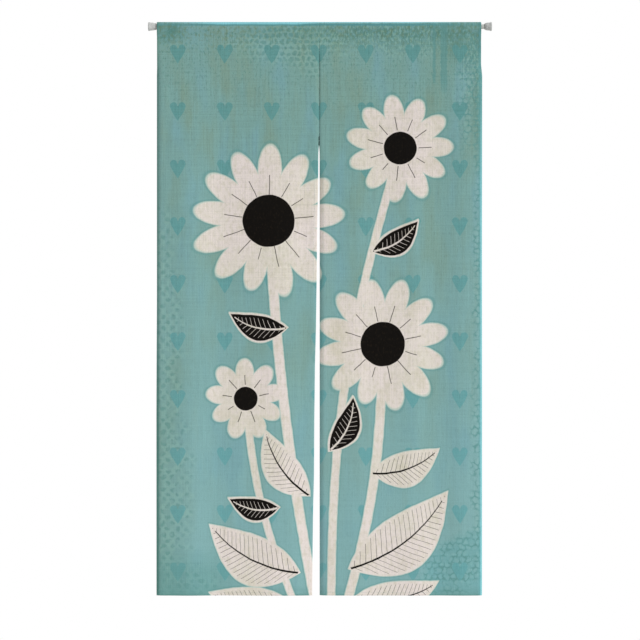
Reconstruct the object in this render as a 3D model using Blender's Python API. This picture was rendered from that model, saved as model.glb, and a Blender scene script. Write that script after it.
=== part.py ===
"""Noren curtain: two cloth panels that share a rod pocket, hung on a telescoping tension rod.

Metres, +Z up. The rod lies along +X, and the printed side of the cloth faces -Y. The origin is
the centre of the flat outer face of the left end cap, on the axis of the rod. Each panel is one
solid: the hanging sheet, the pocket turned over the rod, and the turned hems at its sides and foot.
"""

import math
from collections import namedtuple

import bmesh
import bpy
import numpy as np

# The tension rod, over both end caps, as it is set in its doorway.
ROD_LENGTH = 0.898
OUTER_TUBE_RADIUS = 0.0080
OUTER_TUBE_LENGTH = 0.500
INNER_TUBE_RADIUS = 0.0063
TUBE_OVERLAP = 0.120
TUBE_WALL = 0.0008
ROUND_SIDES = 24

# The flared rubber caps that press on the door frame, each with a spigot that plugs its tube.
CAP_LENGTH = 0.0195
CAP_FACE_RADIUS = 0.0115
CAP_RIM_ROUND = 0.0009
CAP_RIM_WIDTH = 0.0045
CAP_SHOULDER_AT = 0.0145
CAP_SHOULDER_RADIUS = 0.0098
CAP_COLLAR = 0.0010
SPIGOT_LENGTH = 0.012
FIT_GAP = 0.0003

# The cloth.
CLOTH_TOP = 0.0117
CLOTH_HEIGHT = 1.500
CLOTH_THICK = 0.0012
HEM_EXTRA = 0.0010
HEM_WIDTH = 0.010
HEM_STEP = 0.0006
HEM_ROUND = 0.0008

# The pocket that the rod runs through. Its seam is a row of stitches under the rod.
POCKET_DEPTH = 0.050
POCKET_RADIUS = OUTER_TUBE_RADIUS + 0.0020 + CLOTH_THICK
POCKET_FLAP = 0.006
POCKET_SIDE_STEPS = 4
POCKET_ARC_STEPS = 8

# The line where the two panels meet, sewn down to the head of the slit.
SEAM_X = 0.4466
HALF_GAP = 0.00015
SLIT_HEAD = 0.320
SLIT_OPENS = 0.342

# How the sheet hangs.
FOLDS_FULL_AT = 0.55
CURL_REACH = 0.014
ROWS_OVER_SLIT = 6
ROWS_BESIDE_SLIT = 21
COLUMN_COUNT = 19

Edge = namedtuple("Edge", "drop x")
Fold = namedtuple("Fold", "place forward spread lean")
Column = namedtuple("Column", "share offset hem")
Row = namedtuple("Row", "drop layers hem")
Curl = namedtuple("Curl", "back starts full")
Panel = namedtuple("Panel", "name left_edge right_edge folds left_curl right_curl")

# An edge's place, this far below the top of the cloth.
OUTER_LEFT = (
    Edge(0.00, 0.0227),
    Edge(0.12, 0.0226),
    Edge(0.14, 0.0220),
    Edge(0.72, 0.0221),
    Edge(0.90, 0.0212),
    Edge(1.02, 0.0208),
    Edge(1.50, 0.0210),
)
SLIT_LEFT = (
    Edge(SLIT_HEAD, SEAM_X - HALF_GAP),
    Edge(SLIT_OPENS, SEAM_X - 0.0019),
    Edge(0.420, SEAM_X - 0.0026),
    Edge(0.510, SEAM_X - 0.0045),
    Edge(0.680, SEAM_X - 0.0065),
    Edge(0.800, SEAM_X - 0.0082),
    Edge(0.900, SEAM_X - 0.0108),
    Edge(1.040, SEAM_X - 0.0125),
    Edge(1.190, SEAM_X - 0.0134),
    Edge(1.270, SEAM_X - 0.0156),
    Edge(1.500, SEAM_X - 0.0184),
)
SLIT_RIGHT = (
    Edge(SLIT_HEAD, SEAM_X + HALF_GAP),
    Edge(SLIT_OPENS, SEAM_X + 0.0013),
    Edge(0.450, SEAM_X + 0.0015),
    Edge(1.500, SEAM_X + 0.0014),
)
OUTER_RIGHT = (
    Edge(0.00, 0.8701),
    Edge(0.11, 0.8703),
    Edge(0.14, 0.8734),
    Edge(0.35, 0.8731),
    Edge(0.60, 0.8728),
    Edge(1.00, 0.8730),
    Edge(1.50, 0.8728),
)

# Soft upright folds, placed from the panel's left edge. Each leans sideways as it goes down.
LEFT_FOLDS = (
    Fold(0.071, 0.0032, 0.042, 0.012),
    Fold(0.171, -0.0024, 0.040, -0.008),
    Fold(0.310, 0.0038, 0.058, 0.010),
    Fold(0.390, -0.0008, 0.020, 0.000),
)
RIGHT_FOLDS = (
    Fold(0.100, 0.0020, 0.030, -0.006),
    Fold(0.165, -0.0006, 0.030, 0.008),
    Fold(0.239, 0.0018, 0.036, 0.012),
    Fold(0.300, -0.0010, 0.030, 0.004),
    Fold(0.376, 0.0021, 0.030, -0.006),
)

# How far a side hem turns back at its edge, and the drops between which that turn grows.
OUTER_CURL = Curl(0.0045, POCKET_DEPTH, 0.150)
SLIT_LEFT_CURL = Curl(0.0015, SLIT_HEAD, 0.420)
SLIT_RIGHT_CURL = Curl(0.0045, SLIT_HEAD, 0.420)

PANELS = (
    Panel("panel_left", OUTER_LEFT, SLIT_LEFT, LEFT_FOLDS, OUTER_CURL, SLIT_LEFT_CURL),
    Panel("panel_right", SLIT_RIGHT, OUTER_RIGHT, RIGHT_FOLDS, SLIT_RIGHT_CURL, OUTER_CURL),
)


def clear_scene():
    for found in list(bpy.data.objects):
        bpy.data.objects.remove(found, do_unlink=True)


def finish(name, color, roughness, metallic=0.0):
    material = bpy.data.materials.new(name)
    material.use_nodes = True
    shader = material.node_tree.nodes["Principled BSDF"]
    shader.inputs["Base Color"].default_value = (*color, 1.0)
    shader.inputs["Roughness"].default_value = roughness
    shader.inputs["Metallic"].default_value = metallic
    material.diffuse_color = (*color, 1.0)
    return material


def add_object(name, work, material, sharp_from):
    """Turns the working mesh into a named object with its faces smooth up to an angle."""
    bmesh.ops.recalc_face_normals(work, faces=work.faces)
    mesh = bpy.data.meshes.new(name)
    work.to_mesh(mesh)
    work.free()
    mesh.shade_smooth()
    mesh.set_sharp_from_angle(angle=math.radians(sharp_from))
    mesh.materials.append(material)
    made = bpy.data.objects.new(name, mesh)
    bpy.context.collection.objects.link(made)
    return made


def turned(name, outline, closed, material):
    """A shape turned round the rod's axis, from (x, radius) points."""
    work = bmesh.new()
    points = [work.verts.new((x, radius, 0.0)) for x, radius in outline]
    edges = [work.edges.new(pair) for pair in zip(points, points[1:])]
    if closed:
        edges.append(work.edges.new((points[-1], points[0])))
    bmesh.ops.spin(
        work,
        geom=points + edges,
        axis=(1.0, 0.0, 0.0),
        cent=(0.0, 0.0, 0.0),
        steps=ROUND_SIDES,
        angle=2.0 * math.pi,
    )
    bmesh.ops.remove_doubles(work, verts=work.verts, dist=1e-6)
    return add_object(name, work, material, sharp_from=35.0)


def tube(name, start, end, radius, material):
    bore = radius - TUBE_WALL
    outline = ((start, bore), (start, radius), (end, radius), (end, bore))
    return turned(name, outline, True, material)


def end_cap(name, face_x, inward, tube_radius, material):
    """A solid rubber foot: a slow taper from its flat face to a shoulder, then a neck to its tube."""
    spigot = tube_radius - TUBE_WALL - FIT_GAP
    spigot_end = CAP_LENGTH + SPIGOT_LENGTH
    from_face = (
        (0.0, 0.0),
        (0.0, CAP_FACE_RADIUS - CAP_RIM_ROUND),
        (CAP_RIM_ROUND, CAP_FACE_RADIUS),
        (CAP_RIM_WIDTH, CAP_FACE_RADIUS - 0.4 * CAP_RIM_ROUND),
        (CAP_SHOULDER_AT, CAP_SHOULDER_RADIUS),
        (CAP_LENGTH, tube_radius + CAP_COLLAR),
        (CAP_LENGTH, spigot),
        (spigot_end, spigot),
        (spigot_end, 0.0),
    )
    outline = [(face_x + inward * depth, radius) for depth, radius in from_face]
    return turned(name, outline, False, material)


def edge_x(edge, drop):
    return float(np.interp(drop, [step.drop for step in edge], [step.x for step in edge]))


def smooth_step(value, low, high):
    share = min(max((value - low) / (high - low), 0.0), 1.0)
    return share * share * (3.0 - 2.0 * share)


def columns():
    """Upright lines of points across a panel, closer where the side hems end."""
    hem_ends = (0.0, HEM_WIDTH, HEM_WIDTH + HEM_STEP)
    left = [Column(0.0, offset, float(offset <= HEM_WIDTH)) for offset in hem_ends]
    middle = [Column(step / COLUMN_COUNT, 0.0, 0.0) for step in range(1, COLUMN_COUNT)]
    right = [Column(1.0, -column.offset, column.hem) for column in reversed(left)]
    return left + middle + right


def rows():
    """Level lines of points from under the pocket's seam to the foot of the cloth."""
    flap_end = POCKET_DEPTH + POCKET_FLAP
    hem_top = CLOTH_HEIGHT - HEM_WIDTH
    over_slit = np.linspace(flap_end + HEM_STEP, SLIT_HEAD, ROWS_OVER_SLIT)
    beside_slit = np.linspace(SLIT_OPENS, hem_top - HEM_STEP, ROWS_BESIDE_SLIT)
    below = [Row(flap_end, 2, 0.0)]
    below += [Row(float(drop), 1, 0.0) for drop in (*over_slit, *beside_slit)]
    below += [Row(hem_top, 1, 1.0), Row(CLOTH_HEIGHT - HEM_ROUND, 1, 1.0)]
    return below


def forward(panel, x, drop):
    """How far the sheet stands out in front of the plane that it would hang in if it were flat."""
    left = edge_x(panel.left_edge, drop)
    right = edge_x(panel.right_edge, drop)
    place = x - left
    down = drop / CLOTH_HEIGHT
    fullness = smooth_step(drop, POCKET_DEPTH, FOLDS_FULL_AT)
    total = 0.0
    for fold in panel.folds:
        away = (place - fold.place - fold.lean * down) / fold.spread
        total += fold.forward * fullness * math.exp(-away * away)
    for curl, to_edge in ((panel.left_curl, place), (panel.right_curl, right - x)):
        bend = max(1.0 - to_edge / CURL_REACH, 0.0)
        total -= curl.back * smooth_step(drop, curl.starts, curl.full) * bend * bend
    return total


def point(panel, column, y, z):
    drop = CLOTH_TOP - z
    left = edge_x(panel.left_edge, drop)
    right = edge_x(panel.right_edge, drop)
    return (left + column.share * (right - left) + column.offset, y, z)


def pocket_lines(panel, column):
    """The pocket's outer and inner lines, from its seam in front, over the rod, to its seam behind."""
    crown_z = CLOTH_TOP - POCKET_RADIUS
    seam_z = CLOTH_TOP - POCKET_DEPTH
    side = []
    for step in range(POCKET_SIDE_STEPS + 1):
        up = step / POCKET_SIDE_STEPS
        swell = 0.5 - 0.5 * math.cos(math.pi * up)
        out = CLOTH_THICK + (POCKET_RADIUS - CLOTH_THICK) * swell
        side.append((out, seam_z + (crown_z - seam_z) * up, up))
    outer = [(-out, z) for out, z, up in side]
    inner = [(-out + CLOTH_THICK + HEM_EXTRA * column.hem * up, z) for out, z, up in side]
    wall = CLOTH_THICK + HEM_EXTRA * column.hem
    for step in range(1, POCKET_ARC_STEPS):
        angle = math.pi * (1.0 - step / POCKET_ARC_STEPS)
        for line, radius in ((outer, POCKET_RADIUS), (inner, POCKET_RADIUS - wall)):
            line.append((radius * math.cos(angle), crown_z + radius * math.sin(angle)))
    behind = len(side)
    outer += [(-y, z) for y, z in reversed(outer[:behind])]
    inner += [(-y, z) for y, z in reversed(inner[:behind])]
    # Both layers meet at the seam, so the inner line starts and ends in one shared point.
    inner.pop()
    return ([point(panel, column, y, z) for y, z in line] for line in (outer, inner))


def sheet_lines(panel, column):
    """The front and back lines of the hanging sheet, from under the seam to the foot."""
    front = []
    back = []
    for row in rows():
        z = CLOTH_TOP - row.drop
        x = point(panel, column, 0.0, z)[0]
        y = -CLOTH_THICK - forward(panel, x, row.drop)
        wall = CLOTH_THICK * row.layers + HEM_EXTRA * max(column.hem, row.hem)
        front.append((x, y, z))
        back.append((x, y + wall, z))
    foot_y = 0.5 * (front[-1][1] + back[-1][1])
    foot = point(panel, column, foot_y, CLOTH_TOP - CLOTH_HEIGHT)
    return front, back, foot


def panel_mesh(panel):
    """Sweeps the cloth's cross-section from the panel's left edge to its right edge."""
    work = bmesh.new()
    sections = []
    for column in columns():
        outer, inner = pocket_lines(panel, column)
        front, back, foot = sheet_lines(panel, column)
        outside = [work.verts.new(co) for co in front[::-1] + outer + back + [foot]]
        inside = [work.verts.new(co) for co in inner]
        sections.append((outside, inside))
    for (near_out, near_in), (far_out, far_in) in zip(sections, sections[1:]):
        for near, far in ((near_out, far_out), (near_in, far_in)):
            for step in range(len(near)):
                after = (step + 1) % len(near)
                work.faces.new((near[step], near[after], far[after], far[step]))
    for outside, inside in (sections[0], sections[-1]):
        close_side(work, outside, inside)
    return work


def close_side(work, outside, inside):
    """The cut side of a panel: a ladder of faces up the sheet and round the pocket's wall."""
    row_count = len(rows())
    front = outside[:row_count]
    pocket = outside[row_count : row_count + len(inside) + 1]
    back = outside[row_count + len(inside) + 1 : -1][::-1]
    work.faces.new((front[0], back[0], outside[-1]))
    for step in range(row_count - 1):
        work.faces.new((front[step], front[step + 1], back[step + 1], back[step]))
    work.faces.new((front[-1], pocket[0], inside[0], pocket[-1], back[-1]))
    ring = inside + inside[:1]
    for step in range(len(pocket) - 1):
        work.faces.new((pocket[step], pocket[step + 1], ring[step + 1], ring[step]))


def build():
    clear_scene()
    cloth_finish = finish("printed_cloth", (0.20, 0.37, 0.36), 0.9)
    tube_finish = finish("enamelled_tube", (0.62, 0.64, 0.62), 0.4)
    cap_finish = finish("grey_rubber", (0.45, 0.46, 0.43), 0.75)
    for panel in PANELS:
        add_object(panel.name, panel_mesh(panel), cloth_finish, sharp_from=40.0)
    outer_start = CAP_LENGTH + FIT_GAP
    outer_end = outer_start + OUTER_TUBE_LENGTH
    inner_end = ROD_LENGTH - CAP_LENGTH - FIT_GAP
    tube("rod_outer_tube", outer_start, outer_end, OUTER_TUBE_RADIUS, tube_finish)
    tube("rod_inner_tube", outer_end - TUBE_OVERLAP, inner_end, INNER_TUBE_RADIUS, tube_finish)
    end_cap("end_cap_left", 0.0, 1.0, OUTER_TUBE_RADIUS, cap_finish)
    end_cap("end_cap_right", ROD_LENGTH, -1.0, INNER_TUBE_RADIUS, cap_finish)


build()
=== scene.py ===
# %% [markdown]
# # A noren, a split doorway curtain, on its tension rod
# A noren is cloth sewn side by side at the top and left open below, so that people walk through
# the slit. This one is printed cotton and linen. A rod with a spring inside runs through the
# pocket at the top and presses between the two sides of a doorway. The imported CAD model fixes
# where every piece is. This lesson dresses it: finer cloth, sewing, a finer rod, and the finishes.

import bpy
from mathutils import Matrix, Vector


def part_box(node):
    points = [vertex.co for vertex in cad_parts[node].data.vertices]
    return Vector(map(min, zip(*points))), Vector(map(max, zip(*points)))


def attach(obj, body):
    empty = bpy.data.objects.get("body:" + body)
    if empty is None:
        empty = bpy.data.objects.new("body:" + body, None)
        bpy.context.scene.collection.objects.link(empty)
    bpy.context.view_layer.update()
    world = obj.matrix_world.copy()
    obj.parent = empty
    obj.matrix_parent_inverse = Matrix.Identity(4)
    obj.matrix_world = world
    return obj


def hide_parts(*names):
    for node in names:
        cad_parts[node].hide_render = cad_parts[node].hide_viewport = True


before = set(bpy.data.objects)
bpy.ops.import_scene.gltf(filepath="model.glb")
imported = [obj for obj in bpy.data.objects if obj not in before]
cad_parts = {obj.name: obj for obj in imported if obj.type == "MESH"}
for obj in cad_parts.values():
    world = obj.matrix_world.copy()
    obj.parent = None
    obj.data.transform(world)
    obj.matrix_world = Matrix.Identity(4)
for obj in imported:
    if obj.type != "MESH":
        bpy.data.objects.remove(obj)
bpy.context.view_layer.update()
print("nodes in the frame:", sorted(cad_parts))

# %% Tools that the lesson uses
import math
from collections import namedtuple

import bmesh
import bpy
import numpy as np
from mathutils import Vector

BODY = "root"
MM = 0.001
print("Blender", bpy.app.version_string)

# %% [markdown]
# ## Camera, floor and light
# The curtain is photographed square on from far away, so nothing converges. A long lens set back
# five metres gives that look. Most of the light is soft and comes from all round. The rest comes
# from far out at the right, so edges that turn to the left are darker than those that turn right.
# A sun lamp does this better than a lamp close by, which would make the right panel brighter.

# %% Camera
VIEW_WIDTH = 1.6737
VIEW_CENTRE = Vector((0.4489, 0.0, -0.7675))
CAMERA_AWAY = 5.0
SENSOR_WIDTH = 36.0

scene = bpy.context.scene
camera_data = bpy.data.cameras.new("camera")
camera_data.sensor_width = SENSOR_WIDTH
camera_data.lens = SENSOR_WIDTH * CAMERA_AWAY / VIEW_WIDTH
camera = bpy.data.objects.new("camera", camera_data)
camera.location = VIEW_CENTRE - Vector((0.0, CAMERA_AWAY, 0.0))
camera.rotation_euler = (math.radians(90.0), 0.0, 0.0)
scene.collection.objects.link(camera)
scene.camera = camera
print("lens", round(camera_data.lens, 1), "mm")


# %% Lamps
def sun(name, coming_from, softness, strength):
    """A far lamp whose light comes from one direction, with soft shadows."""
    data = bpy.data.lights.new(name, "SUN")
    data.angle = math.radians(softness)
    data.energy = strength
    made = bpy.data.objects.new(name, data)
    made.rotation_euler = Vector(coming_from).to_track_quat("Z", "Y").to_euler()
    scene.collection.objects.link(made)
    return made


lamps = (
    sun("key_sun", (0.80, -0.52, 0.30), 25.0, 2.70),
    sun("top_sun", (0.0, 0.15, 1.0), 20.0, 0.9),
    sun("back_sun", (-0.45, 0.80, 0.40), 40.0, 1.5),
)
scene.view_settings.view_transform = "Standard"
print("lamps:", [made.name for made in lamps])

# %% [markdown]
# ## Writing shader maths as Python
# A finish is a web of nodes, and a web is easier to read as a formula. This small class holds one
# socket. Python's operators on it add Math nodes, and `add` makes any other node. Numbers that
# meet no socket stay plain Python, so nothing is computed in the shader that needn't be.


# %% A socket that can be used in a formula
class Wire:
    """One output socket of a node tree. A Wire with no socket only makes new nodes."""

    def __init__(self, tree, socket=None):
        self.tree = tree
        self.socket = socket

    def add(self, kind, settings=None, sockets=None, out=0):
        """Any node: its type, its settings, then the values or links of its sockets."""
        node = self.tree.nodes.new(kind)
        for name, value in (settings or {}).items():
            if name == "stops":
                fill_ramp(node.color_ramp, value)
            else:
                setattr(node, name, value)
        for name, value in (sockets or {}).items():
            if isinstance(value, Wire):
                self.tree.links.new(value.socket, node.inputs[name])
            else:
                node.inputs[name].default_value = value
        return Wire(self.tree, node.outputs[out])

    def math(self, operation, *values, clamp=False):
        settings = {"operation": operation, "use_clamp": clamp}
        return self.add("ShaderNodeMath", settings, dict(enumerate(values)))

    def vector(self, operation, *values, out="Vector"):
        settings = {"operation": operation}
        return self.add("ShaderNodeVectorMath", settings, dict(enumerate(values)), out)

    def other(self, out):
        """Another output of the same node."""
        return Wire(self.tree, self.socket.node.outputs[out])

    def __add__(self, value):
        return self.math("ADD", self, value)

    def __sub__(self, value):
        return self.math("SUBTRACT", self, value)

    def __rsub__(self, value):
        return self.math("SUBTRACT", value, self)

    def __mul__(self, value):
        return self.math("MULTIPLY", self, value)

    def __truediv__(self, value):
        return self.math("DIVIDE", self, value)

    def __abs__(self):
        return self.math("ABSOLUTE", self)

    __radd__ = __add__
    __rmul__ = __mul__


def fill_ramp(ramp, stops):
    """Gives a colour ramp its stops, each a place and a grey from 0 to 1."""
    while len(ramp.elements) < len(stops):
        ramp.elements.new(1.0)
    for element, (place, grey) in zip(ramp.elements, stops):
        element.position = place
        element.color = (grey, grey, grey, 1.0)


print("operators ready on", Wire.__name__)


# %% Words that the finishes share
def lower(first, second):
    return first.math("MINIMUM", first, second)


def higher(first, second):
    return first.math("MAXIMUM", first, second)


def times_plus(value, factor, addend):
    return value.math("MULTIPLY_ADD", value, factor, addend)


def inside(distance, soft):
    """1 inside an outline and 0 outside, from the distance to it, over a soft edge."""
    return distance.math("MULTIPLY_ADD", distance, -1.0 / soft, 0.5, clamp=True)


def between(value, low, high):
    """0 at low and 1 at high, kept in that range."""
    scale = 1.0 / (high - low)
    return value.math("MULTIPLY_ADD", value, scale, -low * scale, clamp=True)


def blend(share, first, second):
    """A colour that goes from first to second as share goes from 0 to 1."""
    sockets = {0: share, 6: first, 7: second}
    return share.add("ShaderNodeMix", {"data_type": "RGBA"}, sockets, out=2)


def tint(red, green, blue):
    """A colour as a shader needs it, from the 0 to 255 numbers of a screen."""
    channels = [value / 255.0 for value in (red, green, blue)]
    return (*[pow((value + 0.055) / 1.055, 2.4) for value in channels], 1.0)


print("middle grey is", tint(128, 128, 128))

# %% Grains, washes and stripes
Grain = namedtuple("Grain", "across down detail place deep", defaults=(2.0, 0.0, 1.0))


def even_grain(count, detail=2.0):
    """As many grains in a metre along all three axes."""
    return Grain(count, count, detail, 0.0, count)


def noise(spot, grain):
    """Soft noise from 0 to 1, with a grain's counts in a metre along x, y and z."""
    counts = (grain.across, grain.down, grain.deep)
    stretched = spot.vector("MULTIPLY_ADD", spot, counts, (grain.place,) * 3)
    sockets = {"Vector": stretched, "Scale": 1.0, "Detail": grain.detail}
    return spot.add("ShaderNodeTexNoise", None, sockets)


def swing(value, reach):
    """A noise from 0 to 1 turned into one that goes half the reach to both sides of 0."""
    return times_plus(value, reach, -0.5 * reach)


Wash = namedtuple("Wash", "low high strength pigment")
Stripe = namedtuple("Stripe", "reach soft strength pigment")


def wash(colour, amount, layer, where=1.0):
    """Lays a pigment on a colour: none where the amount is low, its full strength at high."""
    share = between(amount, layer.low, layer.high) * (where * layer.strength)
    return blend(share, colour, layer.pigment)


def stripe(colour, distance, line, where=1.0):
    """Lays a pigment on a colour where a distance is under the line's reach."""
    share = inside(distance - line.reach, line.soft) * (where * line.strength)
    return blend(share, colour, line.pigment)


def new_finish(name, roughness):
    """A material, a Wire to write its formula with, and its shader."""
    made = bpy.data.materials.new(name)
    made.use_nodes = True
    shader = made.node_tree.nodes["Principled BSDF"]
    shader.inputs["Roughness"].default_value = roughness
    return made, Wire(made.node_tree), shader


def connect(value, shader, name):
    value.tree.links.new(value.socket, shader.inputs[name])


def raise_surface(shader, height, strength, distance):
    """Bumps a finish by a pattern of heights."""
    sockets = {"Strength": strength, "Distance": distance, "Height": height}
    connect(height.add("ShaderNodeBump", None, sockets), shader, "Normal")


print("white is", tint(255, 255, 255))

# %% The world: white to the camera, softer as a light
WORLD_LIGHT = 0.42

world = bpy.data.worlds.new("studio")
world.use_nodes = True
scene.world = world
background = world.node_tree.nodes["Background"]
background.inputs["Color"].default_value = (1.0, 1.0, 1.0, 1.0)
pen = Wire(world.node_tree)
seen = pen.add("ShaderNodeLightPath", out="Is Camera Ray")
strength = WORLD_LIGHT + seen * (1.0 - WORLD_LIGHT)
world.node_tree.links.new(strength.socket, background.inputs["Strength"])
print("world light", WORLD_LIGHT)

# %% Floor
FLOOR_Z = -2.0
FLOOR_LEFT = -2.6
FLOOR_RIGHT = 3.5
FLOOR_NEAR = -4.6
FLOOR_FAR = 2.2

floor_mesh = bpy.data.meshes.new("floor")
floor_corners = [
    (FLOOR_LEFT, FLOOR_NEAR, FLOOR_Z),
    (FLOOR_RIGHT, FLOOR_NEAR, FLOOR_Z),
    (FLOOR_RIGHT, FLOOR_FAR, FLOOR_Z),
    (FLOOR_LEFT, FLOOR_FAR, FLOOR_Z),
]
floor_mesh.from_pydata(floor_corners, [], [(0, 1, 2, 3)])
floor = bpy.data.objects.new("floor", floor_mesh)
scene.collection.objects.link(floor)
floor_finish, pen, shader = new_finish("pale_floor", 0.9)
shader.inputs["Base Color"].default_value = tint(238, 238, 236)
floor_mesh.materials.append(floor_finish)
print("floor at", FLOOR_Z, "m")

# %% [markdown]
# ## The cut of the cloth
# Each panel is one length of cloth. Its sides and foot are turned twice to the back and stitched,
# and its top is turned over the rod and stitched down, which makes the pocket. The two panels are
# joined edge to edge at the top, and hang apart below the head of the slit. The sizes are those
# of the CAD solids, and the sheet is finer: 0.8 mm of cloth, with 1.9 mm at a hem.

# %% Sizes of the cloth
CLOTH_TOP = 0.0117
CLOTH_HEIGHT = 1.500
FACE_Y = -0.0012
CLOTH_THICK = 0.0008
HEM_EXTRA = 0.0011
HEM_WIDTH = 0.010
HEM_STEP = 0.0006
FOLD_ROUND = 0.0010

POCKET_DEPTH = 0.050
POCKET_RADIUS = 0.0112
POCKET_FLAP = 0.006

SEAM_X = 0.4466
HALF_GAP = 0.00001
SEAM_VALLEY = 0.0020
NARROW_DIP = 0.006
VALLEY_ENDS = 0.38
SLIT_HEAD = 0.320
SLIT_OPENS = 0.342

FOLDS_FULL_AT = 0.55
CURL_REACH = 0.014
FOOT_REACH = 0.009
FOOT_CURL = 0.0022

Edge = namedtuple("Edge", "drop x")
Fold = namedtuple("Fold", "place forward spread lean")
Crease = namedtuple("Crease", "place drop forward width reach lean")
Curl = namedtuple("Curl", "back starts full")
Panel = namedtuple("Panel", "name node left_edge right_edge folds creases left_curl right_curl")
print("cloth", CLOTH_HEIGHT, "m long, slit from", SLIT_HEAD, "m down")

# %% Edges, folds and creases
OUTER_LEFT = (
    Edge(0.00, 0.0227),
    Edge(0.12, 0.0226),
    Edge(0.14, 0.0220),
    Edge(0.72, 0.0221),
    Edge(0.90, 0.0212),
    Edge(1.02, 0.0208),
    Edge(1.50, 0.0210),
)
SLIT_LEFT = (
    Edge(SLIT_HEAD, SEAM_X - HALF_GAP),
    Edge(SLIT_OPENS, SEAM_X - 0.0019),
    Edge(0.420, SEAM_X - 0.0026),
    Edge(0.510, SEAM_X - 0.0045),
    Edge(0.680, SEAM_X - 0.0065),
    Edge(0.800, SEAM_X - 0.0082),
    Edge(0.900, SEAM_X - 0.0108),
    Edge(1.040, SEAM_X - 0.0125),
    Edge(1.190, SEAM_X - 0.0134),
    Edge(1.270, SEAM_X - 0.0156),
    Edge(1.500, SEAM_X - 0.0184),
)
SLIT_RIGHT = (
    Edge(SLIT_HEAD, SEAM_X + HALF_GAP),
    Edge(SLIT_OPENS, SEAM_X + 0.0013),
    Edge(0.450, SEAM_X + 0.0015),
    Edge(1.500, SEAM_X + 0.0014),
)
OUTER_RIGHT = (
    Edge(0.00, 0.8701),
    Edge(0.11, 0.8703),
    Edge(0.14, 0.8734),
    Edge(0.35, 0.8731),
    Edge(0.60, 0.8728),
    Edge(1.00, 0.8730),
    Edge(1.50, 0.8728),
)
LEFT_FOLDS = (
    Fold(0.071, 0.0032, 0.042, 0.012),
    Fold(0.171, -0.0024, 0.040, -0.008),
    Fold(0.310, 0.0038, 0.058, 0.010),
    Fold(0.390, -0.0008, 0.020, 0.000),
)
RIGHT_FOLDS = (
    Fold(0.100, 0.0020, 0.030, -0.006),
    Fold(0.165, -0.0006, 0.030, 0.008),
    Fold(0.239, 0.0018, 0.036, 0.012),
    Fold(0.300, -0.0010, 0.030, 0.004),
    Fold(0.376, 0.0021, 0.030, -0.006),
)
LEFT_CREASES = (
    Crease(0.392, 0.40, -0.0005, 0.009, 0.090, -0.045),
    Crease(0.352, 0.42, 0.0004, 0.013, 0.120, -0.070),
    Crease(0.036, 0.19, -0.0004, 0.010, 0.080, 0.020),
    Crease(0.120, 0.80, 0.0005, 0.014, 0.160, 0.022),
    Crease(0.235, 1.22, -0.0006, 0.015, 0.200, -0.016),
    Crease(0.350, 1.33, 0.0005, 0.012, 0.110, 0.014),
    Crease(0.412, 1.30, -0.0014, 0.026, 0.300, 0.000),
)
RIGHT_CREASES = (
    Crease(0.030, 0.41, -0.0005, 0.009, 0.080, 0.040),
    Crease(0.072, 0.44, 0.0004, 0.013, 0.110, 0.062),
    Crease(0.394, 0.20, -0.0004, 0.011, 0.090, -0.024),
    Crease(0.196, 0.74, 0.0005, 0.012, 0.150, 0.012),
    Crease(0.268, 1.10, -0.0006, 0.014, 0.210, -0.018),
    Crease(0.118, 1.30, 0.0004, 0.013, 0.140, 0.020),
    Crease(0.096, 1.15, -0.0009, 0.030, 0.700, -0.003),
    Crease(0.000, 1.50, -0.0024, 0.020, 0.160, 0.000),
)
OUTER_CURL = Curl(0.0045, POCKET_DEPTH, 0.150)
SLIT_LEFT_CURL = Curl(0.0015, SLIT_HEAD, 0.420)
SLIT_RIGHT_CURL = Curl(0.0045, SLIT_HEAD, 0.420)

LEFT = Panel(
    "cloth_left",
    "panel_left",
    OUTER_LEFT,
    SLIT_LEFT,
    LEFT_FOLDS,
    LEFT_CREASES,
    OUTER_CURL,
    SLIT_LEFT_CURL,
)
RIGHT = Panel(
    "cloth_right",
    "panel_right",
    SLIT_RIGHT,
    OUTER_RIGHT,
    RIGHT_FOLDS,
    RIGHT_CREASES,
    SLIT_RIGHT_CURL,
    OUTER_CURL,
)
print("folds:", len(LEFT_FOLDS), "left and", len(RIGHT_FOLDS), "right")


# %% How far the cloth stands forward
def ease(value, low, high):
    """0 below low, 1 above high and a smooth climb between them."""
    share = np.clip((value - low) / (high - low), 0.0, 1.0)
    return share * share * (3.0 - 2.0 * share)


def edge_x(edge, drop):
    return np.interp(drop, [step.drop for step in edge], [step.x for step in edge])


def forward(panel, x, drop):
    """How far the sheet stands in front of the flat plane, for arrays of places and drops."""
    left = edge_x(panel.left_edge, drop)
    right = edge_x(panel.right_edge, drop)
    place = x - left
    fullness = ease(drop, POCKET_DEPTH, FOLDS_FULL_AT)
    total = np.zeros_like(place)
    for fold in panel.folds:
        away = (place - fold.place - fold.lean * drop / CLOTH_HEIGHT) / fold.spread
        total += fold.forward * fullness * np.exp(-away * away)
    for crease in panel.creases:
        along = (drop - crease.drop) / crease.reach
        away = (place - crease.place - crease.lean * along) / crease.width
        total += crease.forward * np.exp(-away * away - along * along)
    for curl, to_edge in ((panel.left_curl, place), (panel.right_curl, right - x)):
        bend = np.clip(1.0 - to_edge / CURL_REACH, 0.0, None)
        total -= curl.back * ease(drop, curl.starts, curl.full) * bend * bend
    dip_reach = np.where(x < SEAM_X, CURL_REACH, NARROW_DIP)
    from_seam = np.clip(1.0 - np.abs(x - SEAM_X) / dip_reach, 0.0, None)
    sewn_part = ease(drop, POCKET_DEPTH, 2.0 * POCKET_DEPTH)
    sewn_part = sewn_part * (1.0 - ease(drop, SLIT_HEAD, VALLEY_ENDS))
    from_foot = np.clip(1.0 - (CLOTH_HEIGHT - drop) / FOOT_REACH, 0.0, None)
    valley = SEAM_VALLEY * sewn_part * from_seam * from_seam
    return total - valley - FOOT_CURL * from_foot * from_foot


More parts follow.
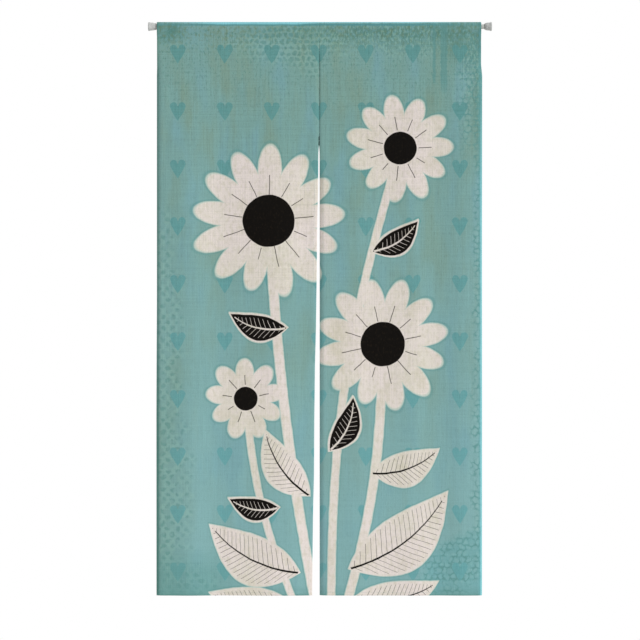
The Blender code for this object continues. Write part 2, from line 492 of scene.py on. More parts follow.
probe = forward(LEFT, np.array([0.1, 0.3]), np.array([1.4, 1.4]))
print("forward at the foot:", [round(float(value) / MM, 2) for value in probe], "mm")

# %% [markdown]
# ## Weaving the panels as meshes
# The sheet could be a flat grid with a Solidify modifier, but then the hems, the pocket and the
# turned edges would all be the same thickness. Instead, one closed outline of the cloth's section
# is drawn at each upright line of points: up the front, over the rod, down the back. The rows of
# points join these outlines, as weft joins warp. Every face knows which side of the cloth it is,
# so the print goes on the face side and on the hems, which turn that side to the back.

# %% Lines of points across and down
HEM_OFFSETS = (0.0, 0.0003, 0.0008, 0.0016, 0.0032, 0.0054, 0.0076, HEM_WIDTH)
AFTER_HEM = (HEM_WIDTH + HEM_STEP, 0.0125, 0.0155, 0.020)
PANEL_WIDTH = 0.426
COLUMN_STEP = 0.006
ROW_STEP = 0.006
POCKET_SIDE_STEPS = 12
POCKET_ARC_STEPS = 18
EDGE_THIN = 0.35

side_offsets = np.array(HEM_OFFSETS + AFTER_HEM)
inner_count = round((PANEL_WIDTH - 2.0 * AFTER_HEM[-1]) / COLUMN_STEP)
shares = np.linspace(0.0, 1.0, inner_count + 1)[1:-1]
column_count = 2 * len(side_offsets) + len(shares)
hem_columns = len(HEM_OFFSETS)


def across(panel, drop):
    """The x of every column at these drops, as an array of columns by drops."""
    left = edge_x(panel.left_edge, drop)
    right = edge_x(panel.right_edge, drop)
    inner_left = left + side_offsets[-1]
    inner_right = right - side_offsets[-1]
    near = left + side_offsets[:, None]
    middle = inner_left + shares[:, None] * (inner_right - inner_left)
    far = right - side_offsets[::-1, None]
    return np.concatenate([near, middle, far])


def sheet_rows():
    """Drops of the rows under the pocket, and how much hem and flap each has."""
    flap_end = POCKET_DEPTH + POCKET_FLAP
    hem_top = CLOTH_HEIGHT - HEM_WIDTH
    count = round((hem_top - flap_end) / ROW_STEP)
    open_rows = np.linspace(flap_end + HEM_STEP, hem_top - HEM_STEP, count)
    hem_rows = CLOTH_HEIGHT - np.array(HEM_OFFSETS[::-1])
    drops = np.concatenate([[flap_end], open_rows, hem_rows])
    flap = np.zeros_like(drops)
    flap[0] = 1.0
    return drops, flap, (drops >= hem_top - 1e-6).astype(float)


row_drops, row_flap, row_hem = sheet_rows()
print(column_count, "columns and", len(row_drops), "rows below the pocket")


# %% One panel's points
def rounding(to_edge):
    """How full the cloth's thickness is near a folded edge, which is round and not square."""
    share = np.clip(to_edge / FOLD_ROUND, 0.0, 1.0)
    return np.maximum(np.sqrt(1.0 - (1.0 - share) ** 2), EDGE_THIN)


def column_hem():
    hem = np.zeros(column_count)
    hem[:hem_columns] = 1.0
    hem[-hem_columns:] = 1.0
    return hem


def sheet_points(panel):
    """Front and back points of the hanging sheet, columns by rows."""
    x = across(panel, row_drops)
    drop = np.broadcast_to(row_drops, x.shape)
    left = edge_x(panel.left_edge, drop)
    right = edge_x(panel.right_edge, drop)
    full = rounding(np.minimum(x - left, right - x)) * rounding(CLOTH_HEIGHT - drop)
    hem = np.maximum(column_hem()[:, None], row_hem[None, :])
    thick = CLOTH_THICK * (1.0 + row_flap) + HEM_EXTRA * hem
    face = FACE_Y - forward(panel, x, drop)
    front = np.stack([x, face + 0.5 * (1.0 - full) * thick, CLOTH_TOP - drop], axis=2)
    back = np.stack([x, face + 0.5 * (1.0 + full) * thick, CLOTH_TOP - drop], axis=2)
    return front, back


def pocket_section():
    """The pocket's section from its seam in front to its seam behind: y, z and share up the side."""
    crown_z = CLOTH_TOP - POCKET_RADIUS
    seam_z = CLOTH_TOP - POCKET_DEPTH
    up = np.linspace(0.0, 1.0, POCKET_SIDE_STEPS + 1)
    out = -FACE_Y + (POCKET_RADIUS + FACE_Y) * (0.5 - 0.5 * np.cos(math.pi * up))
    side_z = seam_z + (crown_z - seam_z) * up
    angle = np.linspace(math.pi, 0.0, POCKET_ARC_STEPS + 1)[1:-1]
    arc_y = POCKET_RADIUS * np.cos(angle)
    arc_z = crown_z + POCKET_RADIUS * np.sin(angle)
    y = np.concatenate([-out, arc_y, out[::-1]])
    z = np.concatenate([side_z, arc_z, side_z[::-1]])
    return y, z


def pocket_points(panel):
    """Outer and inner points of the pocket, columns by steps round the rod."""
    y, z = pocket_section()
    x = across(panel, CLOTH_TOP - z)
    slope = np.stack([np.gradient(y), np.gradient(z)])
    inward = np.stack([slope[1], -slope[0]]) / np.hypot(slope[0], slope[1])
    wall = CLOTH_THICK + HEM_EXTRA * column_hem()[:, None]
    left = edge_x(panel.left_edge, CLOTH_TOP - z)
    right = edge_x(panel.right_edge, CLOTH_TOP - z)
    full = rounding(np.minimum(x - left, right - x))
    sink = 0.5 * (1.0 - full) * wall
    layers = []
    for depth in (sink, wall - sink):
        layers.append(np.stack([x, y + inward[0] * depth, z + inward[1] * depth], axis=2))
    outer, inner = layers
    # The two layers meet in the seam, so the inner line has one point there and not two.
    inner[:, 0, 1] = 0.0
    return outer, inner[:, :-1]


pocket_y = pocket_points(LEFT)[0][:, :, 1]
print("pocket from", pocket_y.min().round(4), "to", pocket_y.max().round(4), "m deep")


# %% One panel's mesh
CLOTH_MAP = "cloth"
PRINTED, REVERSE = 0, 1


def ring_faces(start, ring, columns):
    """Faces between neighbouring outlines: a row of quads for each step round the outline."""
    column, step = np.meshgrid(np.arange(columns - 1), np.arange(ring), indexing="ij")
    after = (step + 1) % ring
    near = start + column * ring
    far = near + ring
    quads = np.stack([near + step, near + after, far + after, far + step], axis=2)
    return quads.reshape(-1, 4), column.ravel(), step.ravel()


def side_faces(base, inner_base, rows, steps):
    """The narrow faces that close the cloth along one side."""
    front = [base + rows - 1 - row for row in range(rows)]
    outer = [base + rows + step for step in range(steps)]
    back = [base + rows + steps + row for row in range(rows)]
    inner = [inner_base + step for step in range(steps - 1)]
    inner.append(inner_base)
    faces = [(front[row], front[row + 1], back[row + 1], back[row]) for row in range(rows - 1)]
    faces.append((front[0], back[0], outer[-1], inner[0], outer[0]))
    for step in range(steps - 1):
        faces.append((outer[step], inner[step], inner[step + 1], outer[step + 1]))
    return faces


def panel_sides(step, column, rows, steps):
    """Which faces of the outer outline show the cloth's reverse."""
    behind = step >= rows + steps - 1
    row = step - (rows + steps)
    in_side_hem = (column < hem_columns - 1) | (column > column_count - hem_columns - 1)
    in_foot_hem = row >= rows - hem_columns
    last = step == 2 * rows + steps - 1
    return behind & ~last & ~((in_side_hem | in_foot_hem) & (row >= 1))


def panel_mesh(panel, finishes):
    front, back = sheet_points(panel)
    outer, inner = pocket_points(panel)
    rows = front.shape[1]
    steps = outer.shape[1]
    outline = np.concatenate([front[:, ::-1], outer, back], axis=1)
    ring = outline.shape[1]
    points = np.concatenate([outline.reshape(-1, 3), inner.reshape(-1, 3)])
    inner_start = column_count * ring
    outside, column, step = ring_faces(0, ring, column_count)
    within, _, _ = ring_faces(inner_start, steps - 1, column_count)
    reverse = panel_sides(step, column, rows, steps)
    last = column_count - 1
    first_side = side_faces(0, inner_start, rows, steps)
    last_side = side_faces(last * ring, inner_start + last * (steps - 1), rows, steps)
    faces = outside.tolist() + [quad[::-1] for quad in within.tolist()]
    faces += first_side + [face[::-1] for face in last_side]
    mesh = bpy.data.meshes.new(panel.name)
    mesh.from_pydata(points.tolist(), [], faces)
    marks = reverse.astype(int).tolist() + [REVERSE] * len(within)
    marks += [PRINTED] * (len(first_side) + len(last_side))
    mesh.polygons.foreach_set("material_index", marks)
    lay_flat(mesh, points, outer_behind(rows, steps, ring, len(points)))
    for finish in finishes:
        mesh.materials.append(finish)
    return mesh


print("panels of", column_count - 1, "strips of faces")


# %% The cloth laid flat, for the print
def outer_behind(rows, steps, ring, count):
    """True for the points where the printed side is behind the rod, past the crown."""
    index = np.arange(count)
    step = index % ring
    half = rows + (steps - 1) // 2
    return (index < column_count * ring) & (step > half) & (step < rows + steps)


def lay_flat(mesh, points, behind):
    """The map of the cloth laid flat, in metres: across from its left edge and up from its top."""
    u = points[:, 0] - OUTER_LEFT[0].x
    v = points[:, 2] - CLOTH_TOP
    corner = np.zeros(len(mesh.loops), dtype=np.int32)
    mesh.loops.foreach_get("vertex_index", corner)
    mark = np.zeros(len(mesh.polygons), dtype=np.int32)
    mesh.polygons.foreach_get("material_index", mark)
    size = np.zeros(len(mesh.polygons), dtype=np.int32)
    mesh.polygons.foreach_get("loop_total", size)
    printed = np.repeat(mark, size) == PRINTED
    over_top = printed & behind[corner]
    across_map = u[corner]
    up_map = np.where(over_top, -v[corner], v[corner])
    layer = mesh.uv_layers.new(name=CLOTH_MAP)
    layer.uv.foreach_set("vector", np.stack([across_map, up_map], axis=1).astype(np.float32).ravel())


def add_piece(name, mesh):
    made = bpy.data.objects.new(name, mesh)
    scene.collection.objects.link(made)
    return made


def closed_and_outward(mesh, name):
    """Points the faces outwards and says whether the mesh is closed."""
    work = bmesh.new()
    work.from_mesh(mesh)
    bmesh.ops.recalc_face_normals(work, faces=work.faces)
    open_edges = sum(1 for edge in work.edges if len(edge.link_faces) != 2)
    volume = work.calc_volume(signed=True)
    work.to_mesh(mesh)
    work.free()
    print(name, len(mesh.polygons), "faces,", open_edges, "open edges,", round(volume * 1e6), "cm3")


print("ready to weave", column_count, "columns")

# %% [markdown]
# ## The printed cloth
# The print is pigment on a plain weave with thick and thin yarns. Its ground is a worn teal with
# a heart repeated in a darker teal, older-looking towards the edges. On it stand large daisies in
# unprinted-looking cream, with black middles and leaf ribs. An image could hold all this, but then
# its sharpness would be fixed. Here each figure is a distance: negative inside its outline and
# positive outside. The lowest of several distances joins figures, and a distance a little
# above zero is a halo round them. All lengths are metres of cloth, from the map laid flat.

# %% Colours of the print
TEAL_TOP = tint(121, 160, 154)
TEAL_FOOT = tint(127, 169, 170)
TEAL_GREEN = tint(124, 154, 140)
TEAL_BLUE = tint(120, 164, 170)
TEAL_HEART_TOP = tint(92, 147, 145)
TEAL_HEART_FOOT = tint(100, 159, 162)
TEAL_WORN = tint(97, 147, 144)
TEAL_CORNER = tint(104, 160, 163)
TEAL_DARK = tint(88, 136, 128)
TEAL_LIGHT = tint(148, 186, 182)
TEAL_LIME = tint(148, 188, 174)
TEAL_CELL = tint(90, 141, 133)
# Painted highlight: a pale cyan for light on the crown over the rod and on the curled right edge; over
# the rod it is also paler worn print.
TEAL_PAINTED_HIGHLIGHT = tint(128, 196, 204)
# Painted shade, under the crown over the rod and just inside the right edge.
TEAL_SHADE = tint(84, 143, 148)
OLIVE = tint(108, 130, 100)
CREAM = tint(216, 210, 198)
CREAM_ROSE = tint(222, 212, 207)
CREAM_OLIVE = tint(199, 193, 173)
CREAM_LINE = tint(200, 209, 197)
PIGMENT_BLACK = tint(10, 6, 2)
BLACK_WORN = tint(34, 27, 18)
UNPRINTED = tint(206, 202, 190)
print("teal as the shader needs it:", [round(value, 3) for value in TEAL_TOP[:3]])


# %% The heart repeat
HEART_PITCH_ACROSS = 0.1229
HEART_PITCH_DOWN = 0.1504
HEART_FIRST_ACROSS = 0.0545
HEART_FIRST_DOWN = 0.0576
HEART_TALL = 0.0505
LOBE_RADIUS = 0.0093
LOBE_ASIDE = 0.0108
LOBE_DOWN = 0.0112
HEART_BULGE = 0.0020


def heart(x, down):
    """Distance to the nearest heart of the repeat."""
    column = (x - HEART_FIRST_ACROSS) / HEART_PITCH_ACROSS
    row = (down - HEART_FIRST_DOWN - 0.5 * HEART_TALL) / HEART_PITCH_DOWN
    aside = abs(column - column.math("ROUND", column)) * HEART_PITCH_ACROSS
    below = times_plus(row - row.math("ROUND", row), HEART_PITCH_DOWN, 0.5 * HEART_TALL)
    from_lobe = aside.add("ShaderNodeCombineXYZ", None, {0: aside - LOBE_ASIDE, 1: below - LOBE_DOWN})
    lobe = aside.vector("LENGTH", from_lobe, out="Value") - LOBE_RADIUS
    drop = HEART_TALL - LOBE_DOWN
    reach = math.hypot(LOBE_ASIDE, drop)
    slope = math.acos(-LOBE_RADIUS / reach) - math.atan2(drop, LOBE_ASIDE)
    side = aside * math.cos(slope) + (below - HEART_TALL) * math.sin(slope)
    share = (below - LOBE_DOWN) / drop
    side = side - share * (1.0 - share) * (4.0 * HEART_BULGE)
    return lower(lobe, higher(side, LOBE_DOWN - below))


print("hearts", HEART_PITCH_ACROSS, "by", HEART_PITCH_DOWN, "m apart")

# %% The daisies' places and sizes
Flower = namedtuple("Flower", "across down radius petals disc turn")
Stem = namedtuple("Stem", "top_across top_down foot_across bow half_width")
Leaf = namedtuple("Leaf", "across down angle length half_width bend veins")

FLOWERS = (
    Flower(0.292, 0.520, 0.198, 13, 0.068, 0.20),
    Flower(0.636, 0.330, 0.138, 11, 0.043, 0.05),
    Flower(0.590, 0.842, 0.172, 12, 0.058, 0.40),
    Flower(0.232, 0.985, 0.104, 9, 0.031, 0.30),
)
FOOT_DOWN = 1.58
STEMS = (
    Stem(0.292, 0.520, 0.425, -0.020, 0.0115),
    Stem(0.636, 0.330, 0.455, -0.055, 0.0095),
    Stem(0.590, 0.842, 0.480, 0.030, 0.0110),
    Stem(0.232, 0.985, 0.385, -0.030, 0.0085),
)
CREAM_LEAVES = (
    Leaf(0.375, 1.440, 152.0, 0.270, 0.064, 0.030, 10.0),
    Leaf(0.500, 1.430, 38.0, 0.330, 0.072, -0.036, 11.0),
    Leaf(0.560, 1.180, 20.0, 0.190, 0.045, -0.022, 8.0),
    Leaf(0.400, 1.240, 124.0, 0.210, 0.046, 0.022, 8.0),
    Leaf(0.335, 1.505, 176.0, 0.200, 0.042, 0.022, 8.0),
    Leaf(0.520, 1.500, 10.0, 0.220, 0.044, -0.026, 9.0),
)
BLACK_LEAVES = (
    Leaf(0.565, 0.600, 34.0, 0.140, 0.030, -0.016, 6.0),
    Leaf(0.338, 0.800, 166.0, 0.150, 0.032, 0.018, 6.0),
    Leaf(0.452, 1.120, 66.0, 0.150, 0.031, -0.018, 6.0),
    Leaf(0.318, 1.270, 170.0, 0.130, 0.028, 0.016, 6.0),
)
print(len(FLOWERS), "flowers,", len(STEMS), "stems,", len(CREAM_LEAVES + BLACK_LEAVES), "leaves")


# %% Distances to a flower
PETAL_ROOT = 0.20
PETAL_FAT = 1.04
PETAL_FLARE = 0.14
PETAL_SHORTEST = 0.93
PETAL_UNEVEN = 0.09
CREASE_HALF = 0.0009
CREASE_BACK = 0.30
CREASE_SHORTEST = 0.22
CREASE_UNEVEN = 0.16


def flower_shape(spot, flower):
    """Distances to a flower's petals, to its disc and to the fine lines drawn on its petals."""
    sector = 2.0 * math.pi / flower.petals
    arm = spot.vector("SUBTRACT", spot, (flower.across, flower.down, 0.0))
    parts = spot.add("ShaderNodeSeparateXYZ", None, {0: arm}, out="X")
    away = spot.vector("LENGTH", arm, out="Value")
    turned = times_plus(spot.math("ARCTAN2", parts.other("Y"), parts), 1.0 / sector, flower.turn)
    petal = turned.math("ROUND", turned)
    number = petal.math("FLOORED_MODULO", petal, float(flower.petals))
    own = number.add("ShaderNodeTexWhiteNoise", {"noise_dimensions": "1D"}, {"W": number}, out="Value")
    angle = (turned - petal) * sector
    reach = flower.radius * (0.5 - 0.5 * PETAL_ROOT)
    middle = flower.radius * (0.5 + 0.5 * PETAL_ROOT)
    fat = PETAL_FAT * math.pi * middle / flower.petals
    stretched = away / (PETAL_SHORTEST + own * PETAL_UNEVEN)
    along = (stretched * angle.math("COSINE", angle) - middle) / reach
    aside = stretched * angle.math("SINE", angle)
    width = aside / (fat + along * (PETAL_FLARE * fat))
    bulge = along * along + width * width
    petals = (bulge.math("SQRT", bulge) - 1.0) * fat
    disc = away - flower.disc
    crease_reach = CREASE_SHORTEST + own * CREASE_UNEVEN
    crease = higher(abs(aside) - CREASE_HALF, abs(along + CREASE_BACK) - crease_reach)
    return lower(petals, disc), disc, crease


print("petals from", PETAL_SHORTEST, "to", PETAL_SHORTEST + PETAL_UNEVEN, "of their length")


# %% Distance to a stem
def stem_shape(x, down, stem):
    """Distance to a bowed stem that runs off the foot of the cloth."""
    run = FOOT_DOWN - stem.top_down
    share = (down - stem.top_down) / run
    bow = share.math("SINE", share * math.pi) * stem.bow
    centre = times_plus(share, stem.foot_across - stem.top_across, bow + stem.top_across)
    return higher(abs(x - centre) - stem.half_width, stem.top_down - down)


print("widest stem", round(2.0 * max(stem.half_width for stem in STEMS) / MM), "mm")

# %% Distances to a leaf
LEAF_TAPER = 0.22
VEIN_SLANT = 0.62
VEIN_HALF = 0.0010
VEIN_SHORT = 0.0075
RIB_HALF = 0.0019
RIB_TAPER = 0.0009
RIB_BACK = 0.06
RIB_REACH = 0.90


def leaf_shape(spot, leaf):
    """Distances to a leaf's outline and to its midrib and veins."""
    angle = math.radians(leaf.angle)
    base = (leaf.across, leaf.down, 0.0)
    arm = spot.vector("SUBTRACT", spot, base)
    ahead = (2.0 * math.cos(angle) / leaf.length, -2.0 * math.sin(angle) / leaf.length, 0.0)
    beside = (math.sin(angle), math.cos(angle), 0.0)
    along = spot.vector("DOT_PRODUCT", arm, ahead, out="Value") - 1.0
    full = 1.0 - along * along
    side = times_plus(full, leaf.bend, spot.vector("DOT_PRODUCT", arm, beside, out="Value"))
    aside = abs(side)
    curved = aside - full * (leaf.half_width - along * (LEAF_TAPER * leaf.half_width))
    outline = higher(curved, (abs(along) - 1.0) * (0.5 * leaf.length))
    pace = 0.5 * leaf.length / leaf.veins
    count = times_plus(aside, -VEIN_SLANT / pace, along * leaf.veins)
    vein = (abs(count - count.math("ROUND", count)) * (2.0 * pace)) - VEIN_HALF
    veins = higher(vein, outline + VEIN_SHORT)
    rib = higher(aside - (RIB_HALF - along * RIB_TAPER), abs(along + RIB_BACK) - RIB_REACH)
    return outline, lower(rib, veins)


print("veins", round(2.0 * VEIN_HALF / MM, 1), "mm wide")


# %% The whole figure
BLACK_RIM = 0.0045


def lowest(distances):
    """Several figures joined in one."""
    joined = distances[0]
    for distance in distances[1:]:
        joined = lower(joined, distance)
    return joined


def figure(spot, x, down):
    """Distances to the cream figure, to its black places and to the fine black lines on it."""
    cream_leaves = [leaf_shape(spot, leaf) for leaf in CREAM_LEAVES]
    black_leaves = [leaf_shape(spot, leaf) for leaf in BLACK_LEAVES]
    cream = lowest([outline for outline, _ in cream_leaves])
    lines = lowest([drawn for _, drawn in cream_leaves])
    cream = lowest([cream, *[stem_shape(x, down, stem) for stem in STEMS]])
    black = lowest([higher(outline, -1.0 * drawn) for outline, drawn in black_leaves])
    cream = lower(cream, lowest([outline for outline, _ in black_leaves]) - BLACK_RIM)
    for flower in FLOWERS:
        petals, disc, crease = flower_shape(spot, flower)
        cream = lower(cream, petals)
        lines = lower(higher(lines, -1.0 * petals - BLACK_RIM), higher(crease, petals))
        black = lower(black, disc)
    return cream, black, lines


print("figure reaches", FOOT_DOWN, "m down")

# %% Places where the ground looks worn
Patch = namedtuple("Patch", "across down half_across half_down soft")
NET_PATCHES = (
    Patch(0.340, 0.054, 0.130, 0.056, 0.60),
    Patch(0.400, 0.060, 0.060, 0.074, 0.60),
)
FLECK_PATCHES = (
    Patch(0.540, 0.034, 0.160, 0.042, 0.60),
    Patch(0.640, 0.040, 0.140, 0.050, 0.60),
    Patch(0.822, 0.100, 0.030, 0.110, 0.80),
)
LACE_PATCHES = (
    Patch(0.846, 0.640, 0.018, 0.420, 0.60),
    Patch(0.846, 1.140, 0.024, 0.250, 0.60),
    Patch(0.822, 0.190, 0.036, 0.150, 0.60),
)
LIME_PATCHES = (
    Patch(0.010, 0.860, 0.052, 0.340, 0.45),
    Patch(0.015, 1.260, 0.070, 0.300, 0.45),
    Patch(0.050, 1.480, 0.110, 0.060, 0.45),
)
DARK_PATCHES = (
    Patch(0.690, 0.012, 0.360, 0.050, 0.90),
    Patch(0.850, 0.032, 0.112, 0.082, 0.80),
    Patch(0.865, 0.200, 0.034, 0.200, 0.80),
    Patch(0.006, 0.020, 0.066, 0.032, 0.80),
)
Drip = namedtuple("Drip", "across half_width end")
DRIPS = (Drip(0.7250, 0.0040, 0.170), Drip(0.7500, 0.0085, 0.185))
MORE_PIGMENT = 0.50
CELL_SOFT = 0.0034
CELL_STRENGTH = 0.46
NET_STRENGTH = 0.23


def patches(x, down, places, ragged):
    """1 in the middle of each soft oval with a ragged edge, and 0 outside them all."""
    total = None
    for patch in places:
        aside = (x - patch.across) / patch.half_across
        below = (down - patch.down) / patch.half_down
        reach = aside * aside + below * below + ragged
        share = between(reach, 1.0 + patch.soft, 1.0 - patch.soft)
        total = share if total is None else higher(total, share)
    return total


def honeycomb(spot, pitch, tall):
    """Distance to the nearest middle of a honeycomb whose cells are pitch apart across."""
    nearest = None
    for shift in (0.0, 0.5):
        count = (1.0 / pitch, 1.0 / (tall * pitch), 0.0)
        cell = spot.vector("FRACTION", spot.vector("MULTIPLY_ADD", spot, count, (shift, shift, 0.5)))
        size = (pitch, tall * pitch, 0.0)
        away = cell.vector("MULTIPLY", cell.vector("SUBTRACT", cell, (0.5, 0.5, 0.5)), size)
        distance = away.vector("LENGTH", away, out="Value")
        nearest = distance if nearest is None else lower(nearest, distance)
    return nearest


def worn_share(wander, least):
    """How much of a pigment is left: the least where the noise is 0, and more up to 1."""
    return least + MORE_PIGMENT * wander


def light_net(share, cell, middle, wall, colour):
    """Light lines round darker cells, from the distance to the cells' middles."""
    colour = stripe(colour, cell, Stripe(middle, CELL_SOFT, CELL_STRENGTH, TEAL_CELL), share)
    return wash(colour, cell, Wash(middle, wall, NET_STRENGTH, TEAL_LIME), share)


print(len(NET_PATCHES + FLECK_PATCHES + LACE_PATCHES + LIME_PATCHES + DARK_PATCHES), "worn patches")

# %% Grains and washes of the teal ground
WANDER = Grain(70.0, 70.0, 2.0, 3.0)
RAGGED = Grain(26.0, 26.0, 3.0, 33.0)
BROAD = Grain(4.0, 2.4, 3.0, 4.0)
BANDS = Grain(16.0, 4.0, 4.0, 9.0)
MOTTLE = Grain(36.0, 28.0, 3.0, 2.0)
MOSS = Grain(60.0, 36.0, 3.0, 7.0)
SPECKS = Grain(190.0, 110.0, 3.0, 21.0)
BLOTCHES = Grain(130.0, 100.0, 3.0, 17.0)

GREEN_BANDS = Wash(0.50, 0.66, 0.85, TEAL_GREEN)
BLUE_BANDS = Wash(0.47, 0.34, 0.68, TEAL_BLUE)
MOSSY = Wash(0.52, 0.70, 0.45, OLIVE)
SPECKLED = Wash(0.54, 0.66, 1.00, TEAL_DARK)
TOP_OLIVE = Wash(0.52, 0.64, 0.45, OLIVE)
TOP_BLUE = Wash(0.48, 0.36, 0.50, TEAL_BLUE)

RAGGED_SWING = 3.2
BROAD_SWING = 0.9
GROUND_TURNS = (0.10, 1.25)
GREEN_FADES = (1.60, 0.20)
MOTTLED = (0.34, 0.60)
DARK_RAGGED = 0.5
DARK_LEAST = 0.50
DARK_STRENGTH = 0.92
NEAR_TOP = (0.30, 0.0)
NEAR_TOP_RAGGED = 0.06
SPECKS_ALL_OVER = 0.10
SPECKS_AT_TOP = 0.60
TOP_BAND = (0.095, 0.030)
TOP_BAND_RAGGED = 0.020
# Painted shade: the lower left of the cloth is made darker, greener and duller, for light that falls
# off towards the left.
LOW_LEFT_SHADE_ACROSS = (0.10, 0.0)
LOW_LEFT_SHADE_DOWN = (0.80, 1.05)
LOW_LEFT_SHADE_GREEN = 0.45
LOW_LEFT_SHADE_DARK = 0.25
LOW_LEFT_SHADE_HEARTS = 0.6
HEART_TURNS = (0.15, 1.10)
HEART_SWING = 0.003
HEART_SOFT = 0.0020
HEART_LEAST = 0.60
print("teal turns from", GROUND_TURNS[0], "to", GROUND_TURNS[1], "m down")


# %% The teal ground
def ground(spot, x, down):
    """The colour of the worn teal ground with its hearts, with painted shade at its lower left, and
    painted shade and painted highlights along its edges.
    """
    wander = noise(spot, WANDER)
    ragged = swing(noise(spot, RAGGED), RAGGED_SWING)
    slow = down + swing(noise(spot, BROAD), BROAD_SWING)
    colour = blend(between(slow, *GROUND_TURNS), TEAL_TOP, TEAL_FOOT)
    bands = noise(spot, BANDS)
    colour = wash(colour, bands, GREEN_BANDS, between(down, *GREEN_FADES))
    colour = wash(colour, bands, BLUE_BANDS)
    mottled = DARK_LEAST + (1.0 - DARK_LEAST) * between(noise(spot, MOTTLE), *MOTTLED)
    dark = patches(x, down, DARK_PATCHES, ragged * DARK_RAGGED) * mottled
    colour = blend(dark * DARK_STRENGTH, colour, TEAL_DARK)
    colour = wash(colour, noise(spot, MOSS), MOSSY, dark)
    near_top = between(down + ragged * NEAR_TOP_RAGGED, *NEAR_TOP)
    specks = SPECKS_ALL_OVER + SPECKS_AT_TOP * near_top
    colour = wash(colour, noise(spot, SPECKS), SPECKLED, specks)
    top_band = between(down + ragged * TOP_BAND_RAGGED, *TOP_BAND)
    blotches = noise(spot, BLOTCHES)
    colour = wash(colour, blotches, TOP_OLIVE, top_band)
    colour = wash(colour, blotches, TOP_BLUE, top_band)
    # Painted shade at the lower left, for light that falls off towards the left.
    low_left_painted_shade = between(x, *LOW_LEFT_SHADE_ACROSS) * between(down, *LOW_LEFT_SHADE_DOWN)
    colour = blend(low_left_painted_shade * LOW_LEFT_SHADE_GREEN, colour, TEAL_GREEN)
    colour = blend(low_left_painted_shade * LOW_LEFT_SHADE_DARK, colour, TEAL_DARK)
    colour = worn_edges(spot, x, down, colour, wander, ragged)
    outline = heart(x, down) + swing(wander, HEART_SWING)
    pigment = blend(between(down, *HEART_TURNS), TEAL_HEART_TOP, TEAL_HEART_FOOT)
    # The hearts at the lower left take the painted shade too.
    pigment = blend(low_left_painted_shade * LOW_LEFT_SHADE_HEARTS, pigment, TEAL_WORN)
    colour = blend(inside(outline, HEART_SOFT) * worn_share(wander, HEART_LEAST), colour, pigment)
    return edge_lines(x, down, colour, low_left_painted_shade)


print("hearts keep at least", HEART_LEAST, "of their pigment")

# %% Worn edges of the ground
WORN = Grain(48.0, 48.0, 2.0, 44.0)
BENDS = Grain(64.0, 64.0, 1.0, 60.0)
FLECKS = Grain(210.0, 100.0, 3.0, 71.0)
WORN_FROM = (0.38, 0.52)

CORNER = (0.860, 1.510, 0.0)
CORNER_RADIUS = 0.190
CORNER_SOFT = 0.020
CORNER_SWING = 0.05
CORNER_LEAST = 0.30
CORNER_LACE = (0.050, 0.065)

LACE_BEND = 0.018
LACE_PITCH = 0.0160
LACE_TALL = 1.90
CELL_WOBBLE = 0.0016
LACE_LINES = Wash(0.0061, 0.0077, 0.90, TEAL_WORN)
LACE_MIDDLES = Wash(0.0052, 0.0030, 0.20, TEAL_LIGHT)
NET_RAGGED = 0.6
NET_CELL = (0.0050, 0.0080)
LIME_PITCH = 0.0250
LIME_TALL = 1.20
LIME_CELL = (0.0056, 0.0096)
FLECKED = Wash(0.49, 0.61, 0.36, TEAL_LIME)
DRIP_SWING = 0.008
DRIP_RAGGED = 0.010
DRIP_FADE = 0.020
DRIP_SOFT = 0.004
DRIP_STRENGTH = 0.76


def worn_edges(spot, x, down, colour, wander, ragged):
    """Lace-like cells, drips and a darker lower right corner."""
    from_corner = spot.vector("DISTANCE", spot, CORNER, out="Value") + swing(wander, CORNER_SWING)
    corner = between(from_corner, CORNER_RADIUS, CORNER_RADIUS - CORNER_SOFT)
    colour = blend(corner * worn_share(wander, CORNER_LEAST), colour, TEAL_CORNER)
    worn = between(noise(spot, WORN), *WORN_FROM)
    corner_lace = corner * between(from_corner, *CORNER_LACE)
    lace = higher(patches(x, down, LACE_PATCHES, ragged), corner_lace) * worn
    bend = noise(spot, BENDS).other("Color")
    bent = spot.vector("MULTIPLY_ADD", bend, (LACE_BEND, LACE_BEND, 0.0), spot)
    wobble = swing(wander, CELL_WOBBLE)
    cell = honeycomb(bent, LACE_PITCH, LACE_TALL) + wobble
    colour = wash(colour, cell, LACE_LINES, lace)
    colour = wash(colour, cell, LACE_MIDDLES, lace)
    net = patches(x, down, NET_PATCHES, ragged * NET_RAGGED)
    colour = light_net(net, cell, *NET_CELL, colour)
    lime = patches(x, down, LIME_PATCHES, ragged) * worn
    lime_cell = honeycomb(bent, LIME_PITCH, LIME_TALL) + wobble
    colour = light_net(lime, lime_cell, *LIME_CELL, colour)
    colour = wash(colour, noise(spot, FLECKS), FLECKED, patches(x, down, FLECK_PATCHES, ragged))
    for drip in DRIPS:
        aside = abs(x + swing(wander, DRIP_SWING) - drip.across)
        faded = between(down + ragged * DRIP_RAGGED, drip.end, drip.end - DRIP_FADE)
        line = Stripe(drip.half_width, DRIP_SOFT, DRIP_STRENGTH, TEAL_WORN)
        colour = stripe(colour, aside, line, faded)
    return colour


print("lace cells", round(LACE_PITCH / MM), "mm wide")

# %% Lines along the edges: painted shade and painted highlights
RIGHT_EDGE = 0.8504
BEHIND_THE_ROD = -2.0
CROWN_MIDDLE = 0.41
CROWN_FADES = (0.40, 0.26)
